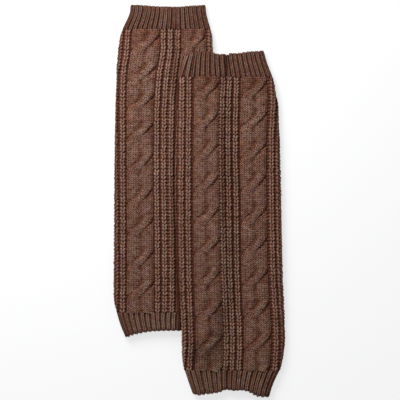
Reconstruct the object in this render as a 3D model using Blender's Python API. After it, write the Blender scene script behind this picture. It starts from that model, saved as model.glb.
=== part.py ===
"""A pair of cable-knit leg warmers, laid flat side by side, the right one lying on the left one's edge.

Each leg warmer is a knitted tube with two rope cables between columns of rib, and a narrow rib cuff
knitted on to each end. Lying flat, a tube is a front and a back of thick cloth with a thin slot between
them, joined by a rounded fold down each side. The cables and ribs stand up from the front; the underside
rests flat. Lengths below are in millimetres: x across the pair, y towards the upper cuffs, z up.
"""
import math
from collections import namedtuple

import bmesh
import bpy
import numpy as np

MM = 0.001

# The cloth
WALL = 3.0                 # plain thickness of the knitted cloth
SLOT = 1.2                 # space left between a flat tube's front and back
THICK = 2 * WALL + SLOT    # the flat tube, fold to fold
CROWN = 1.0                # how far the front swells at the middle of its width
FOLD = 5.5                 # how far in from the edge the side fold is round
FOLD_WALL = 3.2            # cloth between the fold's outside and the slot
FOLD_GATHER_TURN = 0.6     # columns past this turn of a fold gather there and don't run on beneath
FOLD_GATHER_SHARE = 0.12   # and keep this share of their spacing
FOLD_LAST_TURN = 0.85      # where a fold meets the flat underside
SEAM_GAP = 0.3             # between a cuff and its tube, and between the two legs
LIP = 0.6                  # rounding at a cuff's open edge

# The knitting
CABLE_HEIGHT = 2.4
COLUMN_HEIGHT = 1.7        # a column of large V stitches
COLUMN_PITCH = 8.3
CUFF_RIB_HEIGHT = 1.4
CUFF_RIBS = 18             # across a cuff's front
CENTRE_COLUMNS = 3
SIDE_COLUMNS = 3           # beside each cable, the last of them on the fold
STRAND_HALF_WIDTH = 0.29   # of a cable's strand, as a share of the cable's width

# How finely each piece is divided
TUBE_ROWS = 58
CUFF_ROWS = 6
CABLE_STEPS = 8
COLUMN_STEPS = 2
TUBE_LINING_STRIDE = 3     # the plain inside has one row for each three outside
CUFF_LINING_STRIDE = 2

Section = namedtuple("Section", "y left right")
Band = namedtuple("Band", "y cable_1_left cable_1_right cable_2_left cable_2_right")
Mouth = namedtuple("Mouth", "across y")
Crease = namedtuple("Crease", "x_top y_top x_bottom y_bottom half_width depth")
Leg = namedtuple("Leg", "name sections bands crossings top_seam bottom_seam top_mouth bottom_mouth creases")

LEFT = Leg(
    name="left",
    sections=[
        Section(236, -82.5, 8.0), Section(227, -83.0, 8.5), Section(217, -87.0, 11.0),
        Section(206.5, -92.0, 14.0), Section(198, -94.5, 16.0), Section(187, -96.5, 17.0),
        Section(169, -98.5, 18.5), Section(145, -99.5, 21.0), Section(109, -100.5, 24.0),
        Section(61, -101.5, 26.5), Section(1, -102.0, 27.0), Section(-59, -102.5, 26.5),
        Section(-107, -103.0, 24.5), Section(-121, -102.0, 23.5), Section(-133, -99.0, 20.5),
        Section(-140.5, -97.0, 17.5), Section(-152.5, -93.0, 14.5), Section(-163, -88.5, 11.5),
    ],
    bands=[
        Band(206.5, -80.0, -47.0, -21.0, 8.0), Band(181, -82.0, -47.0, -21.5, 9.0),
        Band(151, -86.0, -52.0, -25.0, 7.0), Band(121, -87.0, -54.0, -27.5, 5.0),
        Band(61, -87.0, -55.0, -29.0, 3.5), Band(-59, -86.5, -54.0, -27.5, 5.0),
        Band(-134.5, -87.0, -53.5, -28.0, 3.0),
    ],
    crossings=[-107.0, -71.0, -31.0, 5.0, 44.5, 83.0, 117.5, 152.0, 189.5],
    top_seam=206.5,
    bottom_seam=-134.5,
    top_mouth=[Mouth(0.0, 235.0), Mouth(0.13, 235.0), Mouth(0.26, 234.0), Mouth(0.53, 233.0),
               Mouth(0.66, 233.0), Mouth(0.79, 234.0), Mouth(1.0, 235.0)],
    bottom_mouth=[Mouth(0.0, -163.0), Mouth(0.05, -161.5), Mouth(0.18, -158.5), Mouth(0.3, -156.5),
                  Mouth(0.48, -155.5), Mouth(0.78, -156.5), Mouth(0.9, -158.5), Mouth(1.0, -159.5)],
    creases=[],
)

RIGHT = Leg(
    name="right",
    sections=[
        Section(180, -20.0, 78.0), Section(169, -21.5, 81.0), Section(159.5, -22.5, 84.5),
        Section(149, -23.5, 88.5), Section(135.5, -24.5, 92.0), Section(121, -25.0, 94.5),
        Section(85, -27.0, 96.5), Section(49, -28.5, 98.0), Section(1, -29.0, 99.5),
        Section(-47, -27.0, 100.5), Section(-95, -25.0, 101.5), Section(-143, -22.0, 103.0),
        Section(-173, -21.0, 103.0), Section(-191, -20.0, 100.5), Section(-200.5, -18.5, 98.5),
        Section(-207.5, -16.0, 95.0), Section(-219.5, -12.0, 89.5), Section(-231.5, -8.0, 85.5),
        Section(-236, -7.0, 84.5),
    ],
    bands=[
        Band(149, -6.0, 26.5, 50.0, 81.5), Band(121, -6.0, 24.5, 50.0, 83.0),
        Band(85, -6.5, 24.0, 49.0, 81.5), Band(1, -7.0, 25.0, 50.0, 81.5),
        Band(-95, -6.0, 27.0, 51.0, 83.5), Band(-173, -4.0, 29.5, 54.0, 87.0),
        Band(-204, -5.5, 29.0, 53.0, 85.0),
    ],
    crossings=[-171.5, -132.0, -93.5, -55.0, -18.0, 20.5, 59.0, 96.0, 133.0],
    top_seam=149.0,
    bottom_seam=-204.0,
    top_mouth=[Mouth(0.0, 174.0), Mouth(0.07, 177.0), Mouth(0.37, 177.0), Mouth(0.46, 175.5),
               Mouth(0.51, 176.5), Mouth(0.54, 174.5), Mouth(0.57, 176.5), Mouth(0.66, 177.0),
               Mouth(0.81, 179.0), Mouth(0.9, 179.5), Mouth(1.0, 180.0)],
    bottom_mouth=[Mouth(0.0, -230.5), Mouth(0.06, -232.5), Mouth(0.17, -231.5), Mouth(0.37, -228.5),
                  Mouth(0.44, -226.0), Mouth(0.49, -227.0), Mouth(0.7, -228.0), Mouth(0.75, -230.0),
                  Mouth(0.83, -233.5), Mouth(0.93, -235.0), Mouth(1.0, -234.5)],
    creases=[
        Crease(33.0, 188.0, 32.0, 138.0, 3.6, 1.8),       # pucker in the top cuff
        Crease(-4.0, 187.0, -9.5, 145.0, 2.0, 1.2),       # beside the top cuff's rolled edge
        Crease(26.0, 121.0, 27.0, -59.0, 6.0, 1.0),       # where the leg dips off the one below
        Crease(35.5, -192.0, 33.5, -240.0, 5.0, 1.5),     # pucker in the bottom cuff
    ],
)

# How the right leg lies on the left one
STEP_HEIGHT = THICK + CROWN + CABLE_HEIGHT + SEAM_GAP
STEP_START = -8.0          # the slope starts this far from the lower leg's edge, on the lower leg
STEP_LENGTH = 32.0
STEP_TAIL_TOP = -165.0     # below this the upper leg comes down past the lower leg's hem
STEP_TAIL_LENGTH = 32.0


def column_of(table, name, at):
    """One column of a table of sections or bands, read at a height y along the leg."""
    rows = sorted(table, key=lambda row: row.y)
    return float(np.interp(at, [row.y for row in rows], [getattr(row, name) for row in rows]))


def mouth_y(table, across):
    return float(np.interp(across, [row.across for row in table], [row.y for row in table]))


def ease(value):
    value = min(max(value, 0.0), 1.0)
    return value * value * (3 - 2 * value)


def rest_height(leg, x, y):
    """Height of a leg's underside: nothing for the left one; the right one steps up on to the left one."""
    if leg is LEFT:
        return 0.0
    edge = column_of(LEFT.sections, "right", y)
    down_slope = 1 - ease((x - edge - STEP_START) / STEP_LENGTH)
    past_hem = 1 - ease((STEP_TAIL_TOP - y) / STEP_TAIL_LENGTH)
    return STEP_HEIGHT * down_slope * past_hem


def strand(across, middle):
    return math.sqrt(max(0.0, 1 - ((across - middle) / STRAND_HALF_WIDTH) ** 2))


def cable_relief(across, turns):
    """Height, 0 to 1, of a two-strand rope cable. Each turn takes the left strand over to the right."""
    turn = turns - math.floor(turns)
    swing = ease((turn - 0.12) / 0.76)
    over = strand(across, 0.26 + 0.48 * swing) * (0.78 + 0.22 * math.sin(math.pi * turn))
    under = strand(across, 0.74 - 0.48 * swing) * (0.78 - 0.42 * math.sin(math.pi * turn))
    return max(over, under)


def turns_at(leg, y):
    """Turns of the cable up to y. Crossing number n is at n + 0.5, and the ends carry on as evenly."""
    crossings = leg.crossings
    pitch = (crossings[-1] - crossings[0]) / (len(crossings) - 1)
    heights = [crossings[0] - pitch] + crossings + [crossings[-1] + pitch]
    return float(np.interp(y, heights, [n - 0.5 for n in range(len(heights))]))


def crease_depth(leg, x, y):
    """Depth of the deepest crease at a point. A crease fades over a quarter of its length at each end."""
    depth = 0.0
    for crease in leg.creases:
        along = (crease.y_top - y) / (crease.y_top - crease.y_bottom)
        middle = crease.x_top + (crease.x_bottom - crease.x_top) * along
        across = max(0.0, 1 - ((x - middle) / crease.half_width) ** 2)
        fade = ease(4 * along) * ease(4 * (1 - along))
        depth = max(depth, crease.depth * across * across * fade)
    return depth


def crown(leg, x, y):
    left, right = (column_of(leg.sections, side, y) for side in ("left", "right"))
    share = min(max((x - left) / (right - left), 0.0), 1.0)
    return CROWN * math.sin(math.pi * share)


def fold_point(turn, edge, inward):
    """A point on a side fold. turn is 0 at the fold's top, 0.5 at the edge and 1 at its underside."""
    x = edge + inward * FOLD * (1 - math.sin(math.pi * turn))
    z = THICK / 2 * (1 + math.cos(math.pi * turn))
    return x, z, max(0.0, math.cos(math.pi * turn))


def wrapped(x, left, right):
    """Where a column that is at x on an endless flat front lies once the cloth is folded at both edges."""
    fold_length = math.pi * math.sqrt((FOLD ** 2 + (THICK / 2) ** 2) / 2)
    for edge, inward in ((left, 1), (right, -1)):
        past = inward * (edge + inward * FOLD - x)
        if past > 0:
            turn = past / fold_length
            if turn > FOLD_GATHER_TURN:
                turn = FOLD_GATHER_TURN + FOLD_GATHER_SHARE * (turn - FOLD_GATHER_TURN)
            return fold_point(turn, edge, inward)
    return x, THICK, 1.0


def underside_points(leg, y, left, right):
    """x of the lines along the underside, from left to right, close together where the leg steps down."""
    low, high = left + FOLD, right - FOLD
    if leg is LEFT:
        return list(np.linspace(low, high, 7))
    start = column_of(LEFT.sections, "right", y) + STEP_START
    slope = [start + STEP_LENGTH * step / 4 for step in range(5)]
    return [low, (low + start) / 2] + slope + [(slope[-1] + high) / 2, high]


def column_relief(index):
    """Height of the rib columns at the line of this index, counted from a cable: a valley, then a ridge."""
    return COLUMN_HEIGHT * abs(math.sin(math.pi * index / COLUMN_STEPS))


def tube_front(leg, y, left, right):
    """Front points of a leg tube: its side columns, cable, centre columns, cable and side columns again.

    Each is (x, z, share of the relief that stands up there, relief).
    """
    band = [column_of(leg.bands, name, y) for name in Band._fields[1:]]
    cable_1_left, cable_1_right, cable_2_left, cable_2_right = band
    step = COLUMN_PITCH / COLUMN_STEPS
    side_steps = range(1, SIDE_COLUMNS * COLUMN_STEPS + 1)
    turns = turns_at(leg, y)

    flat = [(cable_1_left - step * n, column_relief(n)) for n in reversed(side_steps)]
    for start, end in ((cable_1_left, cable_1_right), (cable_2_left, cable_2_right)):
        for n in range(CABLE_STEPS + 1):
            across = n / CABLE_STEPS
            inside = 0 < n < CABLE_STEPS
            flat.append((start + (end - start) * across, CABLE_HEIGHT * cable_relief(across, turns) * inside))
        if start == cable_1_left:
            steps = CENTRE_COLUMNS * COLUMN_STEPS
            width = cable_2_left - cable_1_right
            flat += [(cable_1_right + width * n / steps, column_relief(n)) for n in range(1, steps)]
    flat += [(cable_2_right + step * n, column_relief(n)) for n in side_steps]
    return [wrapped(x, left, right) + (relief,) for x, relief in flat]


def cuff_front(leg, y, left, right):
    """Front points of a cuff, each rib a ridge between two valleys, fanned over the cuff's width."""
    points = []
    for n in range(2 * CUFF_RIBS + 1):
        across = n / (2 * CUFF_RIBS)
        x = left + (right - left) * across
        from_edge = max(0.0, min(x - left, right - x, FOLD))
        rise = math.sqrt(1 - ((FOLD - from_edge) / FOLD) ** 2)
        points.append((x, THICK / 2 * (1 + rise), rise, CUFF_RIB_HEIGHT * (n % 2)))
    return points


def outer_ring(leg, front, y, place_y, trim):
    """One closed ring round the outside: over the front from left to right, then back beneath."""
    left, right = (column_of(leg.sections, side, y) for side in ("left", "right"))
    ring = []
    for x, z, share, relief in front(leg, y, left, right):
        swell = share * (crown(leg, x, y) + relief - crease_depth(leg, x, y)) - trim * share
        ring.append((x, place_y(x, left, right), rest_height(leg, x, y) + z + swell))
    beneath = [fold_point(FOLD_LAST_TURN, right, -1)[:2]]
    beneath += [(x, 0.0) for x in reversed(underside_points(leg, y, left, right))]
    beneath += [fold_point(FOLD_LAST_TURN, left, 1)[:2]]
    ring += [(x, place_y(x, left, right), rest_height(leg, x, y) + z) for x, z in beneath]
    return ring


def inner_ring(leg, y, place_y):
    """One closed ring round the slot inside: along its top from left to right, then back."""
    left, right = (column_of(leg.sections, side, y) for side in ("left", "right"))
    lines = underside_points(leg, y, left, right)
    ring = [(left + FOLD_WALL, THICK / 2)]
    ring += [(x, THICK - WALL + crown(leg, x, y)) for x in lines]
    ring += [(right - FOLD_WALL, THICK / 2)]
    ring += [(x, WALL) for x in reversed(lines)]
    return [(x, place_y(x, left, right), rest_height(leg, x, y) + z) for x, z in ring]


def add_grid(mesh, rings):
    """Skin a list of closed rings of equal count, and give back the rings as vertices."""
    rows = [[mesh.verts.new([value * MM for value in point]) for point in ring] for ring in rings]
    for upper, lower in zip(rows, rows[1:]):
        count = len(upper)
        for n in range(count):
            after = (n + 1) % count
            mesh.faces.new((upper[n], upper[after], lower[after], lower[n]))
    return rows


def in_order(ring):
    """A ring's vertices from its left end: (place, vertex), place 0 to 1 over the top and to 2 beneath."""
    order = sorted(range(len(ring)), key=lambda n: ring[n].co.x)
    first, last = order[0], order[-1]
    low, width = ring[first].co.x, ring[last].co.x - ring[first].co.x
    turned = ring[first:] + ring[:first]
    over_top = (last - first) % len(ring)
    places = [(vert.co.x - low) / width for vert in turned]
    return [(place if n <= over_top else 2 - place, vert)
            for n, (place, vert) in enumerate(zip(places, turned))]


def close_mouth(mesh, outer, inner):
    """Join the outside's end ring to the inside's, two rings of unlike counts, with triangles."""
    outside, inside = in_order(outer), in_order(inner)
    outside.append((2.0, outside[0][1]))
    inside.append((2.0, inside[0][1]))
    a = b = 0
    while a < len(outside) - 1 or b < len(inside) - 1:
        corner_a, corner_b = outside[a][1], inside[b][1]
        inside_done = b == len(inside) - 1
        if inside_done or (a < len(outside) - 1 and outside[a + 1][0] <= inside[b + 1][0]):
            a += 1
            mesh.faces.new((corner_a, outside[a][1], corner_b))
        else:
            b += 1
            mesh.faces.new((corner_a, inside[b][1], corner_b))


def wool(name, colour):
    material = bpy.data.materials.new(name)
    material.use_nodes = True
    shader = material.node_tree.nodes["Principled BSDF"]
    shader.inputs["Base Color"].default_value = (*colour, 1.0)
    shader.inputs["Roughness"].default_value = 0.9
    shader.inputs["Metallic"].default_value = 0.0
    return material


def knitted_piece(name, leg, front, y_top, y_bottom, top_mouth, bottom_mouth, rows, stride, material):
    """One knitted piece as a closed body: a ring for each row outside, fewer inside, joined at both ends."""
    mesh = bmesh.new()

    def row(share):
        nominal = y_top + (y_bottom - y_top) * share

        def place(x, left, right):
            across = min(max((x - left) / (right - left), 0.0), 1.0)
            top = mouth_y(top_mouth, across) if top_mouth else y_top
            bottom = mouth_y(bottom_mouth, across) if bottom_mouth else y_bottom
            return top + (bottom - top) * share
        return nominal, place

    outer, inner = [], []
    for n in range(rows + 1):
        nominal, place = row(n / rows)
        at_mouth = (n == 0 and top_mouth) or (n == rows and bottom_mouth)
        outer.append(outer_ring(leg, front, nominal, place, LIP if at_mouth else 0.0))
        if n % stride == 0 or n == rows:
            inner.append(inner_ring(leg, nominal, place))
    outside, inside = add_grid(mesh, outer), add_grid(mesh, inner)
    close_mouth(mesh, outside[0], inside[0])
    close_mouth(mesh, outside[-1], inside[-1])
    bmesh.ops.recalc_face_normals(mesh, faces=mesh.faces)
    bmesh.ops.triangulate(mesh, faces=mesh.faces)

    data = bpy.data.meshes.new(name)
    mesh.to_mesh(data)
    mesh.free()
    data.shade_smooth()
    data.set_sharp_from_angle(angle=math.radians(60))
    data.materials.append(material)
    piece = bpy.data.objects.new(name, data)
    bpy.context.scene.collection.objects.link(piece)
    return piece


for thing in list(bpy.data.objects):
    bpy.data.objects.remove(thing)

brown_wool = wool("brown wool knit", (0.16, 0.075, 0.05))
cuff_wool = wool("brown wool rib", (0.14, 0.065, 0.045))
half_gap = SEAM_GAP / 2
for leg in (LEFT, RIGHT):
    knitted_piece(leg.name + "_leg_tube", leg, tube_front, leg.top_seam - half_gap,
                  leg.bottom_seam + half_gap, None, None, TUBE_ROWS, TUBE_LINING_STRIDE, brown_wool)
    top = max(row.y for row in leg.top_mouth)
    knitted_piece(leg.name + "_top_cuff", leg, cuff_front, top, leg.top_seam + half_gap,
                  leg.top_mouth, None, CUFF_ROWS, CUFF_LINING_STRIDE, cuff_wool)
    bottom = min(row.y for row in leg.bottom_mouth)
    knitted_piece(leg.name + "_bottom_cuff", leg, cuff_front, leg.bottom_seam - half_gap, bottom,
                  None, leg.bottom_mouth, CUFF_ROWS, CUFF_LINING_STRIDE, cuff_wool)
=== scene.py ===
import math
from collections import namedtuple

import bmesh
import bpy
import numpy as np
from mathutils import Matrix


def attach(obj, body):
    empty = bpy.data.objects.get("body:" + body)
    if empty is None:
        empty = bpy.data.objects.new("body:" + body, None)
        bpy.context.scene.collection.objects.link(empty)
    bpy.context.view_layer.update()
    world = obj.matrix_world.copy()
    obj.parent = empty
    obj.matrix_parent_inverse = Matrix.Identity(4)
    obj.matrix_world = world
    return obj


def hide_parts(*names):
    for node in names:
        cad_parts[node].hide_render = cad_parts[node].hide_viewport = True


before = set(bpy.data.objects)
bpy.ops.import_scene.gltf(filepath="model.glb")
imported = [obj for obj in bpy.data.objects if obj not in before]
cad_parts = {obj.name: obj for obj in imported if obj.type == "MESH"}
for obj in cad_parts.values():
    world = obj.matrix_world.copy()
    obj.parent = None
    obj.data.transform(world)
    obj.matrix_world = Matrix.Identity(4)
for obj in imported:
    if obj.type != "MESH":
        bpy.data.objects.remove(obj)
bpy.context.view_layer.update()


# ---- The two leg tubes' cloth ------------------------------------------------------------------
# Each leg warmer is one knitted tube of chunky heathered wool, worked round and laid flat: a front and
# a back joined by a round fold at each side. This is the ground of the cloth, which swells under the
# cables; under the stitches its wool is darkened, painted shade that shows between the stitches.
# The right tube lies on the left one's inner strip.

MM = 0.001
WALL = 3.0                 # plain thickness of the cloth; lengths here are in millimetres
SLOT = 1.2                 # space left between a flat tube's front and back
THICK = 2 * WALL + SLOT
CROWN = 1.0                # how far the front swells at the middle of its width
FOLD = 5.5                 # how far in from the edge the side fold is round
FOLD_WALL = 3.2            # thickness of the cloth where it turns back in a fold
FOLD_LENGTH = math.pi * math.sqrt((FOLD ** 2 + (THICK / 2) ** 2) / 2)
FOLD_LAST_TURN = 0.85      # where a fold meets the flat underside
SEAM_GAP = 0.3             # between a tube and its cuffs, and between the two leg warmers
CABLE_HEIGHT = 2.4         # how far the cloth under a cable swells

Section = namedtuple("Section", "y left right")
Band = namedtuple("Band", "y cable_1_left cable_1_right cable_2_left cable_2_right")
Mouth = namedtuple("Mouth", "across y")
Crease = namedtuple("Crease", "x_top y_top x_bottom y_bottom half_width depth shade")
Valley = namedtuple("Valley", "share softness")  # between the columns, across from cable 1 to 2
Leg = namedtuple("Leg", "name sections bands crossings top_seam bottom_seam top_mouth bottom_mouth creases "
                        "valleys side_gap")

LEFT = Leg(
    name="left",
    sections=[
        Section(236, -82.5, 8.0), Section(227, -83.0, 8.5), Section(217, -87.0, 11.0),
        Section(206.5, -92.0, 14.0), Section(198, -94.5, 16.0), Section(187, -96.5, 17.0),
        Section(169, -98.5, 18.5), Section(145, -99.5, 21.0), Section(109, -100.5, 24.0),
        Section(61, -101.5, 26.5), Section(1, -102.0, 27.0), Section(-59, -102.5, 26.5),
        Section(-107, -103.0, 24.5), Section(-121, -102.0, 23.5), Section(-133, -99.0, 20.5),
        Section(-140.5, -97.0, 17.5), Section(-152.5, -93.0, 14.5), Section(-163, -88.5, 11.5),
    ],
    bands=[
        Band(206.5, -80.0, -47.0, -21.0, 8.0), Band(181, -82.0, -47.0, -21.5, 9.0),
        Band(151, -86.0, -52.0, -25.0, 7.0), Band(121, -87.0, -54.0, -27.5, 5.0),
        Band(61, -87.0, -55.0, -29.0, 3.5), Band(-59, -86.5, -54.0, -27.5, 5.0),
        Band(-134.5, -87.0, -53.5, -28.0, 3.0),
    ],
    crossings=[-107.0, -71.0, -31.0, 5.0, 44.5, 83.0, 117.5, 152.0, 189.5],
    top_seam=206.5,
    bottom_seam=-134.5,
    top_mouth=[Mouth(0.0, 235.0), Mouth(0.13, 235.0), Mouth(0.26, 234.0), Mouth(0.53, 233.0),
               Mouth(0.66, 233.0), Mouth(0.79, 234.0), Mouth(1.0, 235.0)],
    bottom_mouth=[Mouth(0.0, -163.0), Mouth(0.05, -161.5), Mouth(0.18, -158.5), Mouth(0.3, -156.5),
                  Mouth(0.48, -155.5), Mouth(0.78, -156.5), Mouth(0.9, -158.5), Mouth(1.0, -159.5)],
    creases=[Crease(-28.5, 218.0, -30.0, 108.0, 4.8, 0.7, 0.38)],
    valleys=[Valley(0.0, 0.1), Valley(0.32, 0.0), Valley(0.65, 0.8), Valley(1.0, 0.1)],
    side_gap=0.6,
)

RIGHT = Leg(
    name="right",
    sections=[
        Section(180, -18.0, 78.0), Section(169, -20.5, 81.0), Section(159.5, -22.0, 84.5),
        Section(149, -23.5, 88.5), Section(135.5, -24.5, 92.0), Section(121, -25.0, 94.5),
        Section(85, -27.0, 96.5), Section(49, -28.5, 98.0), Section(1, -29.0, 99.5),
        Section(-47, -27.0, 100.5), Section(-95, -25.0, 101.5), Section(-143, -22.0, 103.0),
        Section(-173, -21.0, 103.0), Section(-191, -20.0, 100.5), Section(-200.5, -18.5, 98.5),
        Section(-207.5, -16.0, 95.0), Section(-219.5, -12.0, 89.5), Section(-231.5, -8.0, 85.5),
        Section(-236, -7.0, 84.5),
    ],
    bands=[
        Band(149, -6.0, 26.5, 50.0, 81.5), Band(121, -6.0, 24.5, 50.0, 83.0),
        Band(85, -6.5, 24.0, 49.0, 81.5), Band(1, -7.0, 25.0, 50.0, 81.5),
        Band(-95, -6.0, 27.0, 51.0, 83.5), Band(-173, -4.0, 29.5, 54.0, 87.0),
        Band(-204, -5.5, 29.0, 53.0, 85.0),
    ],
    crossings=[-171.5, -132.0, -93.5, -55.0, -18.0, 20.5, 59.0, 96.0, 133.0],
    top_seam=149.0,
    bottom_seam=-204.0,
    top_mouth=[Mouth(0.0, 174.0), Mouth(0.07, 177.0), Mouth(0.37, 177.0), Mouth(0.46, 175.5),
               Mouth(0.51, 176.5), Mouth(0.54, 174.5), Mouth(0.57, 176.5), Mouth(0.66, 177.0),
               Mouth(0.81, 179.0), Mouth(0.9, 179.5), Mouth(1.0, 180.0)],
    bottom_mouth=[Mouth(0.0, -230.5), Mouth(0.06, -232.5), Mouth(0.17, -231.5), Mouth(0.37, -228.5),
                  Mouth(0.44, -226.0), Mouth(0.49, -227.0), Mouth(0.7, -228.0), Mouth(0.75, -230.0),
                  Mouth(0.83, -233.5), Mouth(0.93, -235.0), Mouth(1.0, -234.5)],
    creases=[
        Crease(34.0, 188.0, 33.0, 138.0, 3.8, 2.4, 0.42),     # pucker in the top cuff
        Crease(-4.0, 187.0, -9.5, 145.0, 2.0, 1.6, 0.45),     # beside the top cuff's rolled edge
        Crease(28.5, 125.0, 30.5, -64.0, 4.4, 1.0, 0.40),     # where the leg dips off the one below
        Crease(35.5, -192.0, 33.5, -240.0, 5.0, 2.0, 0.35),   # pucker in the bottom cuff
    ],
    valleys=[Valley(0.0, 1.0), Valley(0.28, 0.4), Valley(0.59, 0.0), Valley(0.98, 0.1)],
    side_gap=1.8,
)

STEP_HEIGHT = THICK + CROWN + CABLE_HEIGHT + SEAM_GAP      # up on to the lower leg's cable
STEP_START = -8.0          # the slope off the lower leg starts this far from its edge
STEP_LENGTH = 32.0
STEP_TAIL_TOP = -165.0     # below this the upper leg comes down past the lower leg's hem
STEP_TAIL_LENGTH = 32.0


def read(table, name, at, key="y"):
    """One column of a table at the places asked for, on a smooth curve through its rows."""
    rows = sorted(table, key=lambda row: getattr(row, key))
    places = np.array([getattr(row, key) for row in rows], dtype=float)
    values = np.array([getattr(row, name) for row in rows], dtype=float)
    slopes = np.gradient(values, places)
    at = np.asarray(at, dtype=float)
    low = np.clip(np.searchsorted(places, at) - 1, 0, len(places) - 2)
    span = places[low + 1] - places[low]
    t = np.clip((at - places[low]) / span, 0.0, 1.0)
    return (values[low] * (1 + 2 * t) * (1 - t) ** 2 + values[low + 1] * t * t * (3 - 2 * t)
            + span * (slopes[low] * t * (1 - t) ** 2 - slopes[low + 1] * t * t * (1 - t)))


STITCH_OVERHANG = 0.7      # the stitches stand out this far past the ground of the cloth at the edges


def edges(leg, y):
    """Where the ground of the cloth ends at the left and at the right."""
    left, right = read(leg.sections, "left", y), read(leg.sections, "right", y)
    return left + STITCH_OVERHANG, right - STITCH_OVERHANG


def ease(value):
    """From 0 to 1 as the value goes from 0 to 1, starting and ending slowly."""
    value = np.clip(value, 0.0, 1.0)
    return value * value * (3 - 2 * value)


def bell(offset, width):
    """1 where there is no offset, dying away over about the width at each side."""
    return np.exp(-(offset / width) ** 2)


def rest_height(leg, x, y):
    """Height of a leg's underside: nothing for the left one; the right one steps up on to the left one."""
    if leg is LEFT:
        return np.zeros_like(x)
    edge = read(LEFT.sections, "right", y)
    down_slope = 1 - ease((x - edge - STEP_START) / STEP_LENGTH)
    past_hem = 1 - ease((STEP_TAIL_TOP - y) / STEP_TAIL_LENGTH)
    return STEP_HEIGHT * down_slope * past_hem


CREASE_RUN_OUT = 0.25      # a crease runs out over this share of its length at each end


def creased(leg, x, y, measure):
    """The depth or the shade of the creases at a place."""
    most = np.zeros_like(x)
    for crease in leg.creases:
        along = (crease.y_top - y) / (crease.y_top - crease.y_bottom)
        middle = crease.x_top + (crease.x_bottom - crease.x_top) * along
        across = np.maximum(0.0, 1 - ((x - middle) / crease.half_width) ** 2)
        ends = ease(along / CREASE_RUN_OUT) * ease((1 - along) / CREASE_RUN_OUT)
        most = np.maximum(most, getattr(crease, measure) * across ** 2 * ends)
    return most


RELIEF_FADE_START = 0.2    # relief dies away round a fold from this share of its half turn
RELIEF_FADE_LENGTH = 0.5
COVER_MARGIN = 2.0         # the leg on top presses on what lies at least this far in from its edge


def on_cloth(leg, u, y, height):
    """Places on the front and round the folds. u runs across as if the front had no end, y along.

    height is how far a point stands off the plain cloth; it dies away on the underside of a fold.
    """
    u, y, height = np.broadcast_arrays(*(np.asarray(v, dtype=float) for v in (u, y, height)))
    left, right = edges(leg, y)
    side = np.where(u < (left + right) / 2, -1.0, 1.0)
    edge = np.where(side < 0, left, right)
    turn = np.clip((side * (u - edge) + FOLD) / FOLD_LENGTH, 0.0, FOLD_LAST_TURN)
    angle = math.pi * turn
    x = np.where(turn > 0, edge - side * FOLD * (1 - np.sin(angle)), u)
    z = THICK / 2 * (1 + np.cos(angle))
    out_x, out_z = side * np.sin(angle) / FOLD, np.cos(angle) / (THICK / 2)
    length = np.hypot(out_x, out_z)
    stand = height * (1 - ease((turn - RELIEF_FADE_START) / RELIEF_FADE_LENGTH))
    share = np.clip((x - left) / (right - left), 0.0, 1.0)
    top = np.maximum(0.0, np.cos(angle))
    z = z + (CROWN * np.sin(math.pi * share) - creased(leg, x, y, "depth")) * top
    z = z + rest_height(leg, x, y)
    if leg is LEFT:  # the leg on top presses this one's stitches flat
        cover = read(RIGHT.sections, "left", y) + COVER_MARGIN
        covered = (turn < 0.5) & (x > cover) & (y < RIGHT.sections[0].y)
        room = np.maximum(0.0, rest_height(RIGHT, x, y) - SEAM_GAP - z)
        stand = np.where(covered, np.minimum(stand, room), stand)
    return np.stack([x + stand * out_x / length, y, z + stand * out_z / length], axis=-1)


def turns_at(leg, y):
    """Turns of the cables up to y. Crossing number n is at n + 0.5, and the ends carry on as evenly."""
    crossings = leg.crossings
    pitch = (crossings[-1] - crossings[0]) / (len(crossings) - 1)
    heights = [crossings[0] - pitch] + crossings + [crossings[-1] + pitch]
    return np.interp(y, heights, [n - 0.5 for n in range(len(heights))])


CROSSING_LENGTH = 0.7      # share of a turn that a crossing takes
OVER_CREST = 0.35          # the crest of the strand on top lies this far to the right of its middle
ROPE_SHARE = 0.7           # height of a rope away from the crossings, out of the cable's full height
INNER_FALL = 0.7           # how much a rope falls away where it lies against the other one
ARCH_SQUARENESS = 2.2      # a rope's top is flatter than a circle's,
ARCH_FULLNESS = 0.7        # and its sides fall less steeply
OVER_SINK = 0.12           # the strand on top is this much lower at a crossing,
OVER_RISE = 0.3            # but for its part past this share of the cable's width, which rises
OVER_RISE_START = 0.25
UNDER_SINK = 0.2           # the strand beneath is this much lower there,
DIP = 1.1                  # and each wale dips as it slips, more so late in the crossing
LATE_DIP = 1.3
LATE_DIP_START = 0.25
LATE_DIP_LENGTH = 0.3
SLIP = 0.3                 # how slowly a wale slips back under the strand on top


def crossing_at(turns):
    """How near its middle a crossing is, 0 to 1, and how far it has shifted the strands."""
    done = np.clip((turns - np.floor(turns) - 0.5) / CROSSING_LENGTH + 0.5, 0.0, 1.0)
    return np.sin(math.pi * done), ease(done)


def arch(share, in_right_half, crest=0.0):
    """Height, 0 to 1, over a strand from its left edge, share 0, to its right edge, share 1."""
    across = 2 * share - 1
    on_left = across < crest
    reach = np.where(on_left, 1 + crest, 1 - crest)
    fall = 1 - np.maximum(0.0, 1 - np.abs((across - crest) / reach) ** ARCH_SQUARENESS) ** ARCH_FULLNESS
    inner = np.where(on_left, in_right_half, 1 - in_right_half)
    return 1 - fall * (1 - (1 - INNER_FALL) * inner)


def over_height(turns, share):
    """Height of the strand on top, at a share of its own width."""
    middle, shift = crossing_at(turns)
    raised = middle * ease(((share + shift) / 2 - OVER_RISE_START) / OVER_RISE_START)
    return (ROPE_SHARE - OVER_SINK * middle + OVER_RISE * raised) * arch(share, shift, OVER_CREST * middle)


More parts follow.
